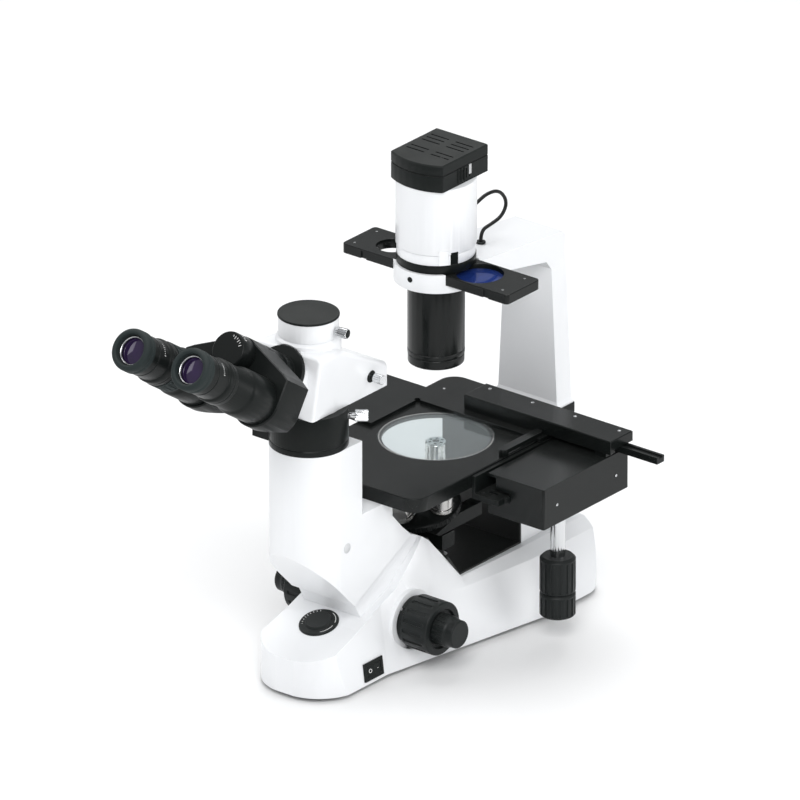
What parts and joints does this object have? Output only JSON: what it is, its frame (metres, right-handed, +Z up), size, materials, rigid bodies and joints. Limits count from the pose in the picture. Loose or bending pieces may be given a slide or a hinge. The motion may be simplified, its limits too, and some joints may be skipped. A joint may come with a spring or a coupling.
{
  "type": "inverted microscope",
  "caption": "Inverted trinocular microscope with objectives below a fixed stage, a mechanical specimen holder, coaxial focus knobs and an overhead lamp on a rear arm.",
  "frame": {"origin": "where the vertical optical axis of the objective in use meets the table", "axes": "+Z up, -Y towards the operator and the eyepieces, +X to the operator's right"},
  "size_m": [0.328, 0.5805, 0.48],
  "materials": {
    "white_paint": "semi-gloss",
    "black_paint": "satin",
    "black_plastic": "matte",
    "knob_plastic": "matte",
    "rubber": "matte",
    "chrome": "polished",
    "steel": "brushed",
    "zinc_sheet": "zinc plated",
    "clear_glass": "polished",
    "blue_glass": "polished",
    "coated_glass": "coated",
    "optics": "polished",
    "white_plastic": "matte",
    "board": "satin",
    "cable_rubber": "matte"
  },
  "bodies": {
    "stand": {"base_casting": "white_paint", "bottom_cover": "zinc_sheet", "rubber_feet": "rubber", "cover_screws": "steel", "bay_liner": "black_paint", "front_column": "white_paint", "relay_tube": "black_paint", "fixed_optics": "optics", "stage_plate": "black_paint", "glass_insert": "clear_glass", "foot_spacer": "black_paint", "illumination_arm": "white_paint", "condenser_tube": "black_paint", "slider_holder": "black_paint", "lamp_housing": "white_paint", "lamp_cap": "black_plastic", "halogen_lamp": "clear_glass", "lamp_socket": "white_plastic", "lamp_cable": "cable_rubber", "cable_glands": "black_plastic", "head_mount_ring": "black_paint", "y_guide": "black_paint", "mains_fittings": "black_plastic", "power_board": "board"},
    "phase_slider": {"phase_slider": "black_paint", "slider_filter": "blue_glass"},
    "head": {"head_housing": "white_paint", "photo_port_tube": "white_paint", "binocular_hinge": "black_paint"},
    "head_lock_screw": {"head_lock_screw": "chrome"},
    "port_lock_screw": {"port_lock_screw": "chrome"},
    "port_dust_cap": {"port_dust_cap": "black_plastic"},
    "beam_splitter": {"beam_splitter_rod": "chrome", "beam_splitter_prism": "optics"},
    "left_binocular": {"left_prism_box": "black_paint", "left_eyetube": "black_paint", "left_eyepiece": "black_plastic", "left_eye_lens": "coated_glass"},
    "right_binocular": {"right_prism_box": "black_paint", "right_eyetube": "black_paint", "right_eyepiece": "black_plastic", "right_eye_lens": "coated_glass"},
    "left_dioptre_ring": {"left_dioptre_ring": "rubber"},
    "focus_slide": {"focus_slide": "black_paint"},
    "nosepiece_carrier": {"nosepiece_carrier": "black_paint"},
    "turret": {"nosepiece_turret": "black_paint", "objectives": "chrome"},
    "coarse_knobs": {"coarse_knobs": "knob_plastic"},
    "fine_knobs": {"fine_knobs": "knob_plastic"},
    "tension_ring": {"tension_ring": "knob_plastic"},
    "stage_carriage": {"stage_carriage": "black_paint", "x_bar_housing": "black_paint"},
    "specimen_holder": {"x_rail": "black_paint", "specimen_plate": "black_paint"},
    "spring_clip": {"spring_clip": "black_paint"},
    "y_drive": {"y_drive_knob": "knob_plastic", "y_drive_shaft": "chrome"},
    "x_drive": {"x_drive": "knob_plastic"},
    "switch_rocker": {"switch_rocker": "black_plastic"},
    "brightness_dial": {"brightness_dial": "knob_plastic"}
  },
  "joints": [
    {"name": "phase_slider_shift", "type": "slide", "parent": "stand", "child": "phase_slider", "axis": [1, 0, 0], "range_m": [-0.052, 0.052]},
    {"name": "head_rotation", "type": "hinge", "parent": "stand", "child": "head", "pos_m": [0, -0.1895, 0.286], "axis": [0, 0, 1], "range_deg": [-90, 90]},
    {"name": "head_lock_turn", "type": "hinge", "parent": "stand", "child": "head_lock_screw", "pos_m": [0.02939, -0.16654, 0.275], "axis": [0.788, 0.6157, 0], "range_deg": [-360, 0]},
    {"name": "port_screw_turn", "type": "hinge", "parent": "head", "child": "port_lock_screw", "pos_m": [0.02807, -0.18455, 0.366], "axis": [0.9848, 0.1736, 0], "range_deg": [-360, 0]},
    {"name": "dust_cap_lift", "type": "slide", "parent": "head", "child": "port_dust_cap", "axis": [0, 0, 1], "range_m": [0, 0.03]},
    {"name": "beam_splitter_pull", "type": "slide", "parent": "head", "child": "beam_splitter", "axis": [1, 0, 0], "range_m": [0, 0.012]},
    {"name": "right_eyetube_swing", "type": "hinge", "parent": "head", "child": "right_binocular", "pos_m": [0, -0.26748, 0.3556], "axis": [0, -0.829, 0.5592], "range_deg": [-11.21, 4.24]},
    {"name": "left_eyetube_swing", "type": "hinge", "parent": "head", "child": "left_binocular", "pos_m": [0, -0.26748, 0.3556], "axis": [0, -0.829, 0.5592], "range_deg": [-4.24, 11.21]},
    {"name": "left_dioptre_turn", "type": "hinge", "parent": "left_binocular", "child": "left_dioptre_ring", "pos_m": [-0.035, -0.35511, 0.37232], "axis": [0, -0.829, 0.5592], "range_deg": [-150, 150]},
    {"name": "coarse_focus", "type": "slide", "parent": "stand", "child": "focus_slide", "axis": [0, 0, 1], "range_m": [-0.006, 0.002]},
    {"name": "fine_focus", "type": "slide", "parent": "focus_slide", "child": "nosepiece_carrier", "axis": [0, 0, 1], "range_m": [-0.0006, 0.0006]},
    {"name": "turret_turn", "type": "hinge", "parent": "nosepiece_carrier", "child": "turret", "pos_m": [0, 0, 0.04041], "axis": [0, -0.2588, 0.9659], "continuous": true},
    {"name": "coarse_knob_turn", "type": "hinge", "parent": "stand", "child": "coarse_knobs", "pos_m": [0, -0.097, 0.048], "axis": [1, 0, 0], "range_deg": [-57.8, 19.6]},
    {"name": "fine_knob_turn", "type": "hinge", "parent": "stand", "child": "fine_knobs", "pos_m": [0, -0.097, 0.048], "axis": [1, 0, 0], "range_deg": [-1081, 1081]},
    {"name": "tension_ring_turn", "type": "hinge", "parent": "stand", "child": "tension_ring", "pos_m": [0.05, -0.097, 0.048], "axis": [1, 0, 0], "range_deg": [-60, 60]},
    {"name": "stage_y_travel", "type": "slide", "parent": "stand", "child": "stage_carriage", "axis": [0, 1, 0], "range_m": [-0.045, 0.03]},
    {"name": "stage_x_travel", "type": "slide", "parent": "stage_carriage", "child": "specimen_holder", "axis": [1, 0, 0], "range_m": [-0.05, 0.05]},
    {"name": "clip_swing", "type": "hinge", "parent": "specimen_holder", "child": "spring_clip", "pos_m": [0.077, 0.0545, 0.188], "axis": [0, 0, 1], "range_deg": [0, 25], "stiffness_Nm_per_rad": 0.02},
    {"name": "y_knob_turn", "type": "hinge", "parent": "stage_carriage", "child": "y_drive", "pos_m": [0.12, 0.032, 0.1], "axis": [0, 0, 1], "range_deg": [-322.79, 215.36]},
    {"name": "x_knob_turn", "type": "hinge", "parent": "stage_carriage", "child": "x_drive", "pos_m": [0.12, 0.032, 0.04], "axis": [0, 0, 1], "range_deg": [-358.6, 358.6]},
    {"name": "power_rocker", "type": "hinge", "parent": "stand", "child": "switch_rocker", "pos_m": [0.04537, -0.155, 0.01711], "axis": [-0.1309, 0, 0.9914], "range_deg": [0, 18]},
    {"name": "brightness_turn", "type": "hinge", "parent": "stand", "child": "brightness_dial", "pos_m": [0, -0.175, 0.05796], "axis": [0, -0.2951, 0.9555], "range_deg": [-135, 135]}
  ],
  "couplings": [
    {"joint": "left_eyetube_swing", "follows": "right_eyetube_swing", "ratio": -1},
    {"joint": "coarse_knob_turn", "follows": "coarse_focus", "rad_per_m": 166.67},
    {"joint": "fine_knob_turn", "follows": "fine_focus", "rad_per_m": 31416},
    {"joint": "y_knob_turn", "follows": "stage_y_travel", "rad_per_m": 125},
    {"joint": "x_knob_turn", "follows": "stage_x_travel", "rad_per_m": 125}
  ]
}
